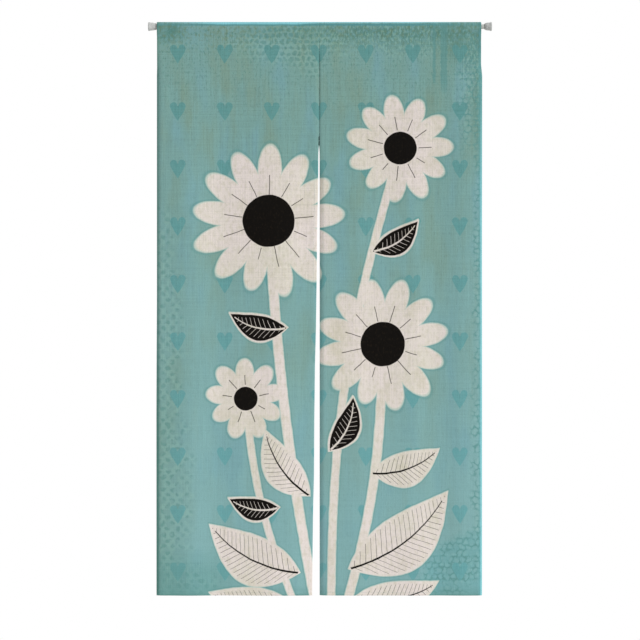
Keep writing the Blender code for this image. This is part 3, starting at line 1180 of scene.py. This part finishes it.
# Painted shade in a band just below the crown over the rod.
CROWN_SHADE = Stripe(0.0026, 0.0030, 1.00, TEAL_SHADE)
CROWN_SHADE_DOWN = 0.0084
CROWN_SHADE_LEAST = 0.30
CROWN_SHADE_MORE = 0.60
CROWN_HALF = 0.0036
CROWN_SOFT = 0.0040
CROWN_LEAST = 0.15
WIDER_BY = 0.0038
WIDER_MIDDLE = 0.255
WIDER_FADES = (0.18, 0.10)
FOOT_LEFT = Wash(1.37, 1.44, 0.55, TEAL_WORN)
FOOT_LEFT_ACROSS = (0.24, 0.14)
FOOT_HEM = Wash(1.472, 1.486, 0.30, TEAL_WORN)
# Painted shade along the rounded foot, which turns down away from the light.
FOOT_PAINTED_SHADE = Wash(1.4935, 1.4965, 0.45, TEAL_DARK)
# Painted shade along the left edge, which curls away from the light.
LEFT_PAINTED_SHADE = Stripe(0.0050, 0.0022, 0.45, TEAL_DARK)
# Painted shade in a line just inside the right edge.
RIGHT_PAINTED_SHADE = Stripe(0.0095, 0.0030, 0.45, TEAL_SHADE)
# Painted highlight along the right edge, which curls towards the light.
RIGHT_PAINTED_HIGHLIGHT = Stripe(0.0050, 0.0020, 0.70, TEAL_PAINTED_HIGHLIGHT)
RIGHT_HIGHLIGHT_DOWN = (0.12, 0.50)


def edge_lines(x, down, colour, low_left_painted_shade):
    """Painted shade along the left hem, inside the right edge, under the crown and at the foot, a
    darker band on the foot hem, a painted highlight on the right edge, and over the rod a paler
    printed edge with a painted highlight.
    """
    # Behind the rod, down is below zero, and the crown reaches half as far there.
    above = higher(down, down * BEHIND_THE_ROD)
    middle = between(abs(x - CROWN_MIDDLE), *CROWN_FADES)
    # Painted shade below the crown, where the cloth turns down away from the light.
    shade = CROWN_SHADE_LEAST + CROWN_SHADE_MORE * middle
    colour = stripe(colour, abs(above - CROWN_SHADE_DOWN), CROWN_SHADE, shade)
    # Over the rod: partly a paler print worn at the fold and partly a painted highlight, where the
    # rounded crown faces the light.
    half = times_plus(between(abs(x - WIDER_MIDDLE), *WIDER_FADES), WIDER_BY, CROWN_HALF)
    crown = inside(above - half, CROWN_SOFT) * (CROWN_LEAST + (1.0 - CROWN_LEAST) * middle)
    colour = blend(crown, colour, TEAL_PAINTED_HIGHLIGHT)
    colour = wash(colour, down, FOOT_LEFT, between(x, *FOOT_LEFT_ACROSS))
    colour = wash(colour, down, FOOT_HEM)
    # Painted shade at the very foot.
    colour = wash(colour, down, FOOT_PAINTED_SHADE)
    # Painted shade along the left edge, twice as strong at the lower left.
    colour = stripe(colour, x, LEFT_PAINTED_SHADE, low_left_painted_shade + 1.0)
    right = RIGHT_EDGE - x
    # Painted shade just inside the right edge.
    colour = stripe(colour, right, RIGHT_PAINTED_SHADE)
    # Painted highlight on the right edge, fading in from 0.12 m down.
    return stripe(colour, right, RIGHT_PAINTED_HIGHLIGHT, between(down, *RIGHT_HIGHLIGHT_DOWN))


# The width printed here is that of the painted highlight on the right edge.
print("bleached line", round(RIGHT_PAINTED_HIGHLIGHT.reach / MM), "mm wide")

# %% Yarns and weave
YARN = 0.0009
YARN_TURN = 2.0 * math.pi / YARN
CROSSING_HEIGHT = 0.3
Yarn = namedtuple("Yarn", "grain low high tone height")
WARP = Yarn(Grain(330.0, 8.0), 0.28, 0.72, 0.15, 0.5)
WEFT = Yarn(Grain(7.0, 300.0, 2.0, 5.0), 0.28, 0.72, 0.10, 0.4)
FINE = Yarn(Grain(540.0, 300.0, 1.0, 8.0), 0.25, 0.75, 0.13, 0.3)
SLUB = Yarn(Grain(300.0, 66.0, 1.0, 8.0), 0.60, 0.72, 0.10, 0.8)
CONTRAST_FADES = (0.2, 1.3)
CONTRAST_LOSS = 0.45
CLOTH_TONE = 0.965


def yarns(spot, x, down):
    """Thick and thin warp from 0 to 1, short slubs, the height of the weave and its tone."""
    kinds = (WARP, WEFT, FINE, SLUB)
    warp, weft, fine, slub = [between(noise(spot, kind.grain), kind.low, kind.high) for kind in kinds]
    over = x.math("SINE", x * YARN_TURN)
    under = down.math("SINE", down * YARN_TURN)
    height = over * under * CROSSING_HEIGHT
    for kind, share in zip(kinds, (warp, weft, fine, slub)):
        height = height + share * kind.height
    streaks = swing(warp, WARP.tone) + swing(weft, WEFT.tone) + swing(fine, FINE.tone)
    contrast = times_plus(between(down, *CONTRAST_FADES), -CONTRAST_LOSS, 1.0)
    return warp, slub, height, times_plus(streaks - slub * SLUB.tone, contrast, CLOTH_TONE)


print("yarns", round(YARN / MM, 1), "mm from the next but one")

# %% Grains and washes of the cream figure
DRIFT = Grain(34.0, 34.0, 2.0, 12.0)
STAINS = Grain(7.0, 4.0, 4.0, 15.0)
SOIL = Grain(16.0, 9.0, 3.0, 20.0)
CREAM_BLOTCHES = Grain(110.0, 70.0, 3.0, 52.0)
CREAM_FLECKS = Grain(210.0, 120.0, 2.0, 3.0)

STAINED = (0.40, 0.62)
SOILED = Wash(0.52, 0.76, 0.70, CREAM_OLIVE)
DULL_BLOTCHES = Wash(0.50, 0.66, 0.45, CREAM_OLIVE)
ROSE_BLOTCHES = Wash(0.46, 0.32, 0.60, CREAM_ROSE)
DULL_FLECKS = Wash(0.58, 0.72, 0.40, CREAM_OLIVE)
WORN_FLECKS = Wash(0.55, 0.72, 0.60, BLACK_WORN)

PRINT_WOBBLE = 0.0034
HALO_OUT = 0.0042
HALO_SHADE = Stripe(0.0014, 0.0024, 0.50, TEAL_WORN)
HALO_LINE = Stripe(0.0020, 0.0016, 0.80, CREAM_LINE)
CREAM_SOFT = 0.0018
BLACK_SOFT = 0.0012


def print_colour(spot):
    """The colour of the printed face before light falls on it."""
    bend = noise(spot, DRIFT).other("Color")
    middle = (-0.5 * PRINT_WOBBLE,) * 3
    drawn = spot.vector("ADD", spot, spot.vector("MULTIPLY_ADD", bend, (PRINT_WOBBLE,) * 3, middle))
    parts = spot.add("ShaderNodeSeparateXYZ", None, {0: drawn}, out="X")
    cream, dark_places, lines = figure(drawn, parts, parts.other("Y"))
    colour = ground(drawn, parts, parts.other("Y"))
    colour = stripe(colour, abs(cream - HALO_OUT), HALO_SHADE)
    colour = stripe(colour, cream, HALO_LINE)
    body = blend(between(noise(spot, STAINS), *STAINED), CREAM_ROSE, CREAM)
    body = wash(body, noise(spot, SOIL), SOILED)
    blotches = noise(spot, CREAM_BLOTCHES)
    body = wash(body, blotches, DULL_BLOTCHES)
    body = wash(body, blotches, ROSE_BLOTCHES)
    flecks = noise(spot, CREAM_FLECKS)
    body = wash(body, flecks, DULL_FLECKS)
    colour = blend(inside(cream, CREAM_SOFT), colour, body)
    black = wash(PIGMENT_BLACK, flecks, WORN_FLECKS)
    return blend(inside(lower(dark_places, lines), BLACK_SOFT), colour, black)


print("the print's edges wander over", round(PRINT_WOBBLE / MM, 1), "mm")

# %% The cloth's finish, for both of its sides
WEAVE_HEIGHT = 0.00022
WEAVE_STRENGTH = 0.8
CLOTH_ROUGHNESS = 0.88
ROUGH_LEAST = 0.83
ROUGH_MORE = 0.10
CLOTH_SPECULAR = 0.12
CLOTH_SHEEN = 0.02
SHEEN_ROUGHNESS = 0.5
SOAK = Grain(60.0, 60.0, 2.0, 30.0)
SHOW_THROUGH = 0.42
SOAK_LEAST = 0.7
SOAK_MORE = 0.6
SLUB_COLOUR = 0.5


def cloth_finish(name, reverse):
    made, pen, shader = new_finish(name, CLOTH_ROUGHNESS)
    flat = pen.add("ShaderNodeUVMap", {"uv_map": CLOTH_MAP}, out="UV")
    spot = pen.vector("MULTIPLY", flat, (1.0, -1.0, 0.0))
    parts = pen.add("ShaderNodeSeparateXYZ", None, {0: spot}, out="X")
    warp, slub, height, tone = yarns(spot, parts, parts.other("Y"))
    colour = print_colour(spot)
    if reverse:
        soak = SHOW_THROUGH * (SOAK_LEAST + SOAK_MORE * noise(spot, SOAK))
        pale = blend(slub * SLUB_COLOUR, UNPRINTED, CREAM_OLIVE)
        colour = blend(soak, pale, colour)
    colour = pen.add("ShaderNodeVectorMath", {"operation": "SCALE"}, {0: colour, "Scale": tone})
    connect(colour, shader, "Base Color")
    connect(times_plus(warp, ROUGH_MORE, ROUGH_LEAST), shader, "Roughness")
    raise_surface(shader, height, WEAVE_STRENGTH, WEAVE_HEIGHT)
    shader.inputs["Specular IOR Level"].default_value = CLOTH_SPECULAR
    shader.inputs["Sheen Weight"].default_value = CLOTH_SHEEN
    shader.inputs["Sheen Roughness"].default_value = SHEEN_ROUGHNESS
    print(name, "has", len(made.node_tree.nodes), "nodes")
    return made


face_side = cloth_finish("printed_face", False)
reverse_side = cloth_finish("unprinted_reverse", True)

# %% Weave both panels
cloths = {}
for panel in (LEFT, RIGHT):
    mesh = panel_mesh(panel, (face_side, reverse_side))
    closed_and_outward(mesh, panel.name)
    mesh.shade_smooth()
    cloths[panel.name] = add_piece(panel.name, mesh)

# %% [markdown]
# ## Sewing
# The hems and the pocket are sewn with a running line of lockstitches in teal thread, a long oval
# of thread for each stitch. Thousands of them follow the cloth, so Geometry Nodes make them: the
# script draws the path of each seam as a line of points on the cloth, and the nodes walk along it
# at the stitch's pitch and lay a stretched ball at each step. The direction of the thread is
# stored on the path, so the same nodes sew along a seam, or across it as a bar tack does.

# %% A node tree that sews along a path
LAY = "lay"


def sewing_nodes():
    tree = bpy.data.node_groups.new("sew_along_path", "GeometryNodeTree")
    face = tree.interface
    face.new_socket("Path", in_out="INPUT", socket_type="NodeSocketGeometry")
    for name in ("Pitch", "Stitch Length", "Thread Width"):
        face.new_socket(name, in_out="INPUT", socket_type="NodeSocketFloat")
    face.new_socket("Thread", in_out="INPUT", socket_type="NodeSocketMaterial")
    face.new_socket("Stitches", in_out="OUTPUT", socket_type="NodeSocketGeometry")
    nodes = Wire(tree)
    start = nodes.add("NodeGroupInput", out="Path")
    end = tree.nodes.new("NodeGroupOutput")
    curve = nodes.add("GeometryNodeMeshToCurve", None, {"Mesh": start})
    pace = {"Curve": curve, "Length": start.other("Pitch")}
    walk = nodes.add("GeometryNodeResampleCurve", {"mode": "LENGTH"}, pace)
    ball = nodes.add("GeometryNodeMeshUVSphere", None, {"Segments": 6, "Rings": 4, "Radius": 0.5})
    width = start.other("Thread Width")
    sides = {0: width, 1: width, 2: start.other("Stitch Length")}
    shape = nodes.add("ShaderNodeCombineXYZ", None, sides)
    stitch = nodes.add("GeometryNodeTransform", None, {"Geometry": ball, "Scale": shape})
    lay = nodes.add("GeometryNodeInputNamedAttribute", {"data_type": "FLOAT_VECTOR"}, {"Name": LAY})
    turn = nodes.add("FunctionNodeAlignRotationToVector", {"axis": "Z"}, {"Vector": lay})
    row = {"Points": walk, "Instance": stitch, "Rotation": turn}
    laid = nodes.add("GeometryNodeInstanceOnPoints", None, row)
    solid = nodes.add("GeometryNodeRealizeInstances", None, {"Geometry": laid})
    dressed = {"Geometry": solid, "Material": start.other("Thread")}
    sewn = nodes.add("GeometryNodeSetMaterial", None, dressed)
    tree.links.new(sewn.socket, end.inputs["Stitches"])
    return tree


sew = sewing_nodes()
print("sewing inputs:", [item.name for item in sew.interface.items_tree])


# %% Sew one set of seams
Seam = namedtuple("Seam", "points lay")


def path_mesh(name, seams):
    points = []
    edges = []
    lays = []
    for seam in seams:
        first = len(points)
        points += seam.points
        lays += seam.lay
        edges += [(index, index + 1) for index in range(first, len(points) - 1)]
    mesh = bpy.data.meshes.new(name)
    mesh.from_pydata(points, edges, [])
    stored = mesh.attributes.new(LAY, "FLOAT_VECTOR", "POINT")
    stored.data.foreach_set("vector", [value for lay in lays for value in lay])
    return mesh


def sewn(name, seams, pitch, length, width, thread):
    """Runs the nodes over the seams and keeps the stitches as a plain mesh."""
    holder = add_piece(name + "_path", path_mesh(name + "_path", seams))
    modifier = holder.modifiers.new("sewing", "NODES")
    modifier.node_group = sew
    values = {"Pitch": pitch, "Stitch Length": length, "Thread Width": width, "Thread": thread}
    for item in sew.interface.items_tree:
        if item.name in values:
            modifier[item.identifier] = values[item.name]
    graph = bpy.context.evaluated_depsgraph_get()
    mesh = bpy.data.meshes.new_from_object(holder.evaluated_get(graph))
    mesh.name = name
    mesh.shade_smooth()
    bpy.data.objects.remove(holder, do_unlink=True)
    made = add_piece(name, mesh)
    print(name, len(mesh.polygons), "faces")
    return made


# %% Thread
THREAD_ROUGHNESS = 0.62
STRANDS = even_grain(900.0)
STRAND_TURNS = (0.35, 0.65)
STRAND_HEIGHT = 0.00012
STRAND_STRENGTH = 0.5


def thread_finish(name, colour, light):
    made, pen, shader = new_finish(name, THREAD_ROUGHNESS)
    spot = pen.add("ShaderNodeTexCoord", out="Object")
    strands = noise(spot, STRANDS)
    connect(blend(between(strands, *STRAND_TURNS), colour, light), shader, "Base Color")
    raise_surface(shader, strands, STRAND_STRENGTH, STRAND_HEIGHT)
    return made


teal_thread = thread_finish("teal_thread", tint(108, 146, 144), tint(128, 165, 162))
dark_thread = thread_finish("dark_thread", tint(10, 28, 30), tint(26, 48, 48))
print("threads:", teal_thread.name, dark_thread.name)

# %% Paths of the seams
PATH_STEP = 0.008
STITCH_PITCH = 0.0034
STITCH_LENGTH = 0.0029
THREAD_WIDTH = 0.00042
HEM_SEAM = 0.0088
THREAD_SINK = 0.00004


def surface_y(panel, x, drop, back):
    """The y of the cloth's front or back face at a place, on the hem or off it."""
    left = float(edge_x(panel.left_edge, drop))
    right = float(edge_x(panel.right_edge, drop))
    hem = min(x - left, right - x) <= HEM_WIDTH or drop >= CLOTH_HEIGHT - HEM_WIDTH
    face = FACE_Y - float(forward(panel, np.array([x]), np.array([drop]))[0])
    if back:
        return face + CLOTH_THICK + HEM_EXTRA * hem - THREAD_SINK
    return face + THREAD_SINK


def running_seam(points):
    """A seam whose thread lies along its path."""
    lay = []
    for index in range(len(points)):
        before = Vector(points[max(index - 1, 0)])
        after = Vector(points[min(index + 1, len(points) - 1)])
        lay.append((after - before).normalized()[:])
    return Seam(points, lay)


def hem_seams(panel, back):
    first = POCKET_DEPTH + 2.0 * POCKET_FLAP
    drops = np.arange(first, CLOTH_HEIGHT - HEM_SEAM, PATH_STEP)
    seams = []
    for edge, inward in ((panel.left_edge, 1.0), (panel.right_edge, -1.0)):
        points = []
        for drop in drops:
            x = float(edge_x(edge, drop)) + inward * HEM_SEAM
            points.append((x, surface_y(panel, x, drop, back), CLOTH_TOP - drop))
        seams.append(running_seam(points))
    foot = CLOTH_HEIGHT - HEM_SEAM
    low = float(edge_x(panel.left_edge, foot)) + HEM_SEAM
    high = float(edge_x(panel.right_edge, foot)) - HEM_SEAM
    points = []
    for x in np.arange(low, high, PATH_STEP):
        points.append((float(x), surface_y(panel, x, foot, back), CLOTH_TOP - foot))
    seams.append(running_seam(points))
    return seams


def pocket_seam(panel, back):
    drop = POCKET_DEPTH
    low = float(edge_x(panel.left_edge, drop)) + 2.0 * FOLD_ROUND
    high = float(edge_x(panel.right_edge, drop)) - 2.0 * FOLD_ROUND
    y = -FACE_Y - THREAD_SINK if back else FACE_Y + THREAD_SINK
    places = np.arange(low, high, PATH_STEP)
    return running_seam([(float(x), y, CLOTH_TOP - drop) for x in places])


stitches = {}
for panel in (LEFT, RIGHT):
    seams = []
    for back in (False, True):
        seams += hem_seams(panel, back)
        seams.append(pocket_seam(panel, back))
    name = panel.name + "_stitches"
    stitches[panel.name] = sewn(name, seams, STITCH_PITCH, STITCH_LENGTH, THREAD_WIDTH, teal_thread)

# %% The middle seam and the bar tack at the slit's head
JOIN_PITCH = 0.0042
JOIN_LENGTH = 0.0032
JOIN_SLANT = 0.45
JOIN_STEPS = 24
JOIN_ASIDE = 0.0010
TACK_TOP = 0.2995
TACK_BOTTOM = 0.3225
TACK_LENGTH = 0.0028
TACK_PITCH = 0.00055
TACK_WIDTH = 0.00060
TACK_GAP = (0.3095, 0.3120)
TACK_ASIDE = 0.0016


def join_seam(top, bottom, back, slant, panel, x):
    """A seam whose stitches cross the join, as far forward as a panel is at x."""
    lay = Vector((1.0, 0.0, slant)).normalized()[:]
    points = []
    for drop in np.linspace(top, bottom, JOIN_STEPS):
        points.append((SEAM_X, surface_y(panel, x, drop, back), CLOTH_TOP - drop))
    return Seam(points, [lay] * len(points))


join_seams = []
tack_seams = []
for back in (False, True):
    beside = SEAM_X - JOIN_ASIDE
    join_seams.append(join_seam(POCKET_DEPTH, TACK_TOP, back, JOIN_SLANT, LEFT, beside))
    for top, bottom in ((TACK_TOP, TACK_GAP[0]), (TACK_GAP[1], TACK_BOTTOM)):
        tack_seams.append(join_seam(top, bottom, back, 0.0, RIGHT, SEAM_X + TACK_ASIDE))
join = sewn("middle_seam", join_seams, JOIN_PITCH, JOIN_LENGTH, THREAD_WIDTH, teal_thread)
tack = sewn("bar_tack", tack_seams, TACK_PITCH, TACK_LENGTH, TACK_WIDTH, dark_thread)

# %% [markdown]
# ## The tension rod
# Two thin steel tubes slide in each other over a spring, and a soft rubber foot plugs each end.
# They are turned parts, so each is one outline spun round the rod's axis. The mouth of the wider
# tube is rolled in a little so that it doesn't scratch the thinner one.

# %% Spin an outline round the rod
TURN_SIDES = 64
SHARP_FROM = 40.0


def turned(name, outline, closed, finish):
    """A piece spun round the rod's axis from (x, radius) points."""
    work = bmesh.new()
    points = [work.verts.new((x, radius, 0.0)) for x, radius in outline]
    edges = [work.edges.new(pair) for pair in zip(points, points[1:])]
    if closed:
        edges.append(work.edges.new((points[-1], points[0])))
    bmesh.ops.spin(
        work,
        geom=points + edges,
        axis=(1.0, 0.0, 0.0),
        cent=(0.0, 0.0, 0.0),
        steps=TURN_SIDES,
        angle=2.0 * math.pi,
    )
    bmesh.ops.remove_doubles(work, verts=work.verts, dist=1e-6)
    bmesh.ops.recalc_face_normals(work, faces=work.faces)
    mesh = bpy.data.meshes.new(name)
    work.to_mesh(mesh)
    work.free()
    mesh.shade_smooth()
    mesh.set_sharp_from_angle(angle=math.radians(SHARP_FROM))
    mesh.materials.append(finish)
    print(name, len(mesh.polygons), "faces")
    return add_piece(name, mesh)


# %% Enamel and rubber
FINISH_WORDS = "name roughness clouds turns pale dull rough_more rough_least grain bump"
Finish = namedtuple("Finish", FINISH_WORDS)
SKIN_HEIGHT = 0.0001
ENAMEL = Finish(
    name="grey_enamel",
    roughness=0.36,
    clouds=Grain(40.0, 200.0, 3.0, 0.0, 200.0),
    turns=(0.30, 0.72),
    pale=tint(190, 192, 188),
    dull=tint(176, 178, 173),
    rough_more=0.22,
    rough_least=0.26,
    grain=even_grain(700.0, 1.0),
    bump=0.25,
)
RUBBER = Finish(
    name="matt_rubber",
    roughness=0.72,
    clouds=even_grain(160.0, 4.0),
    turns=(0.32, 0.68),
    pale=tint(190, 192, 190),
    dull=tint(168, 170, 168),
    rough_more=0.20,
    rough_least=0.60,
    grain=even_grain(2600.0),
    bump=0.5,
)
ENAMEL_COAT = 0.15


def rod_finish(kind):
    """A material with clouds in its colour and roughness, and a fine grain on its skin."""
    made, pen, shader = new_finish(kind.name, kind.roughness)
    spot = pen.add("ShaderNodeTexCoord", out="Object")
    clouds = noise(spot, kind.clouds)
    connect(blend(between(clouds, *kind.turns), kind.pale, kind.dull), shader, "Base Color")
    connect(times_plus(clouds, kind.rough_more, kind.rough_least), shader, "Roughness")
    raise_surface(shader, noise(spot, kind.grain), kind.bump, SKIN_HEIGHT)
    return made, shader


enamel, enamel_shader = rod_finish(ENAMEL)
enamel_shader.inputs["Coat Weight"].default_value = ENAMEL_COAT
rubber = rod_finish(RUBBER)[0]
print("finishes:", enamel.name, rubber.name)

# %% Tubes
TUBE_WALL = 0.0008
LIP = 0.00025
ROLL = 0.0012


def tube(name, node, radius, finish):
    """A tube that spans its CAD node, with broken edges at both mouths."""
    low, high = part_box(node)
    bore = radius - TUBE_WALL
    outline = (
        (low.x, bore + LIP),
        (low.x, radius - LIP),
        (low.x + LIP, radius),
        (high.x - ROLL, radius),
        (high.x - 0.4 * ROLL, radius - 0.3 * LIP),
        (high.x, radius - 1.2 * LIP),
        (high.x, bore + LIP),
        (high.x - LIP, bore),
        (low.x + LIP, bore),
    )
    made = turned(name, outline, True, finish)
    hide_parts(node)
    return made


outer_low, outer_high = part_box("rod_outer_tube")
inner_low, inner_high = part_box("rod_inner_tube")
outer_radius = 0.5 * (outer_high.z - outer_low.z)
inner_radius = 0.5 * (inner_high.z - inner_low.z)
outer_tube = tube("outer_tube", "rod_outer_tube", outer_radius, enamel)
inner_tube = tube("inner_tube", "rod_inner_tube", inner_radius, enamel)
print("tube radii", round(outer_radius / MM, 2), "and", round(inner_radius / MM, 2), "mm")

# %% End caps
CAP_LENGTH = 0.0195
FACE_RADIUS = 0.0115
RIM_ROUND = 0.0010
RIM_WIDTH = 0.0045
SPIGOT_LENGTH = 0.012
SPIGOT_GAP = 0.0003
SHOULDER_AT = 0.0145
SHOULDER_RADIUS = 0.0098
COLLAR = 0.0010
ROUND_STEPS = 5


def end_cap(name, node, face_x, inward, tube_radius):
    """A rubber foot: flat face, round rim, a slow taper to a shoulder, a neck and a spigot."""
    spigot = tube_radius - TUBE_WALL - SPIGOT_GAP
    outline = [(0.0, 0.0)]
    for step in range(ROUND_STEPS + 1):
        angle = 0.5 * math.pi * step / ROUND_STEPS
        depth = RIM_ROUND * (1.0 - math.cos(angle))
        outline.append((depth, FACE_RADIUS - RIM_ROUND * (1.0 - math.sin(angle))))
    outline += [
        (RIM_WIDTH - 0.6 * MM, FACE_RADIUS - 0.25 * MM),
        (RIM_WIDTH, FACE_RADIUS - 0.45 * MM),
        (RIM_WIDTH + 1.2 * MM, FACE_RADIUS - 0.95 * MM),
        (SHOULDER_AT - 1.2 * MM, SHOULDER_RADIUS + 0.12 * MM),
        (SHOULDER_AT, SHOULDER_RADIUS - 0.12 * MM),
        (SHOULDER_AT + 1.2 * MM, SHOULDER_RADIUS - 0.60 * MM),
        (CAP_LENGTH - 0.4 * MM, tube_radius + COLLAR + 0.10 * MM),
        (CAP_LENGTH, tube_radius + COLLAR - 0.3 * MM),
        (CAP_LENGTH, spigot),
        (CAP_LENGTH + SPIGOT_LENGTH, spigot),
        (CAP_LENGTH + SPIGOT_LENGTH, 0.0),
    ]
    placed = [(face_x + inward * depth, radius) for depth, radius in outline]
    made = turned(name, placed, False, rubber)
    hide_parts(node)
    return made


left_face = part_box("end_cap_left")[0].x
right_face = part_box("end_cap_right")[1].x
cap_left = end_cap("cap_left", "end_cap_left", left_face, 1.0, outer_radius)
cap_right = end_cap("cap_right", "end_cap_right", right_face, -1.0, inner_radius)

# %% [markdown]
# ## Hiding the CAD panels and joining the pieces
# The CAD panels are hidden, as the woven cloth takes their place, and every piece is joined to the one
# body. A panel is cut wider and longer than it hangs, because each side and foot hem takes two turns
# and the pocket goes over the rod.

# %% Hide the CAD panels, which the woven cloth replaces
for panel in (LEFT, RIGHT):
    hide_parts(panel.node)

# %% Every piece rides on the one body
all_pieces = [*cloths.values(), *stitches.values(), join, tack]
all_pieces += [outer_tube, inner_tube, cap_left, cap_right]
for piece in all_pieces:
    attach(piece, BODY)
print(len(all_pieces), "pieces ride on", BODY)
